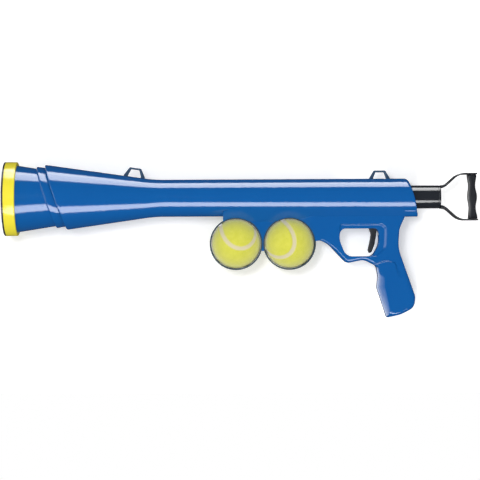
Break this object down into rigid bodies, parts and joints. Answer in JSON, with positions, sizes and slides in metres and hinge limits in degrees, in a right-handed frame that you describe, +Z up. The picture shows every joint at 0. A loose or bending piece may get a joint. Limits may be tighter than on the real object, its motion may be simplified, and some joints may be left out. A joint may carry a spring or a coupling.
{
  "type": "dog tennis ball launcher",
  "caption": "Gun-shaped tennis ball launcher for dogs: flared muzzle, spring plunger with a pull handle, trigger, pistol grip and ball hoops under the barrel.",
  "frame": {"origin": "centre of the muzzle mouth, on the barrel axis", "axes": "+X along the barrel from the muzzle to the pull handle, +Z up towards the strap loops, Y across the body, with the halves parting at Y = 0"},
  "size_m": [0.5965, 0.0936, 0.1982],
  "materials": {
    "shell_blue": "glossy royal blue",
    "ring_yellow": "glossy yellow",
    "felt": "yellow-green felt",
    "gloss_black": "glossy black",
    "satin_black": "satin black",
    "acetal": "moulded, dull",
    "steel": "zinc plated",
    "rubber": "matte rubber"
  },
  "bodies": {
    "body": {"left_shell": "shell_blue", "right_shell": "shell_blue", "muzzle_collar": "shell_blue", "muzzle_ring": "ring_yellow", "trigger_pin": "steel", "trigger_spring": "steel", "sear_spring": "steel", "buffer_washer": "rubber", "main_spring": "steel", "rear_bushing": "acetal", "shell_screws": "steel"},
    "plunger": {"pull_tube": "gloss_black", "plunger_head": "acetal", "plunger_pin": "steel", "striker_pad": "rubber", "pad_screw": "steel", "handle_frame": "satin_black", "handle_grip": "satin_black", "handle_pin": "steel"},
    "trigger": {"trigger": "satin_black"},
    "sear": {"sear": "acetal"},
    "ball_front": {"ball_front": "felt"},
    "ball_rear": {"ball_rear": "felt"}
  },
  "joints": [
    {"name": "plunger_pull", "type": "slide", "parent": "body", "child": "plunger", "axis": [1, 0, 0], "range_m": [0, 0.16], "stiffness_N_per_m": 200, "springref_m": -0.06, "deforming": ["main_spring"]},
    {"name": "trigger_pull", "type": "hinge", "parent": "body", "child": "trigger", "pos_m": [0.4775, 0, -0.0315], "axis": [0, -1, 0], "range_deg": [0, 10], "stiffness_Nm_per_rad": 0.12, "springref_deg": -17.19, "deforming": ["trigger_spring"]},
    {"name": "sear_drop", "type": "slide", "parent": "body", "child": "sear", "axis": [0, 0, -1], "range_m": [0, 0.003], "deforming": ["sear_spring"]},
    {"name": "ball_front_push", "type": "slide", "parent": "body", "child": "ball_front", "axis": [0, -1, 0], "range_m": [-0.045, 0.045]},
    {"name": "ball_rear_push", "type": "slide", "parent": "body", "child": "ball_rear", "axis": [0, -1, 0], "range_m": [-0.045, 0.045]}
  ],
  "couplings": [
    {"joint": "sear_drop", "follows": "trigger_pull", "m_per_rad": 0.01708}
  ]
}
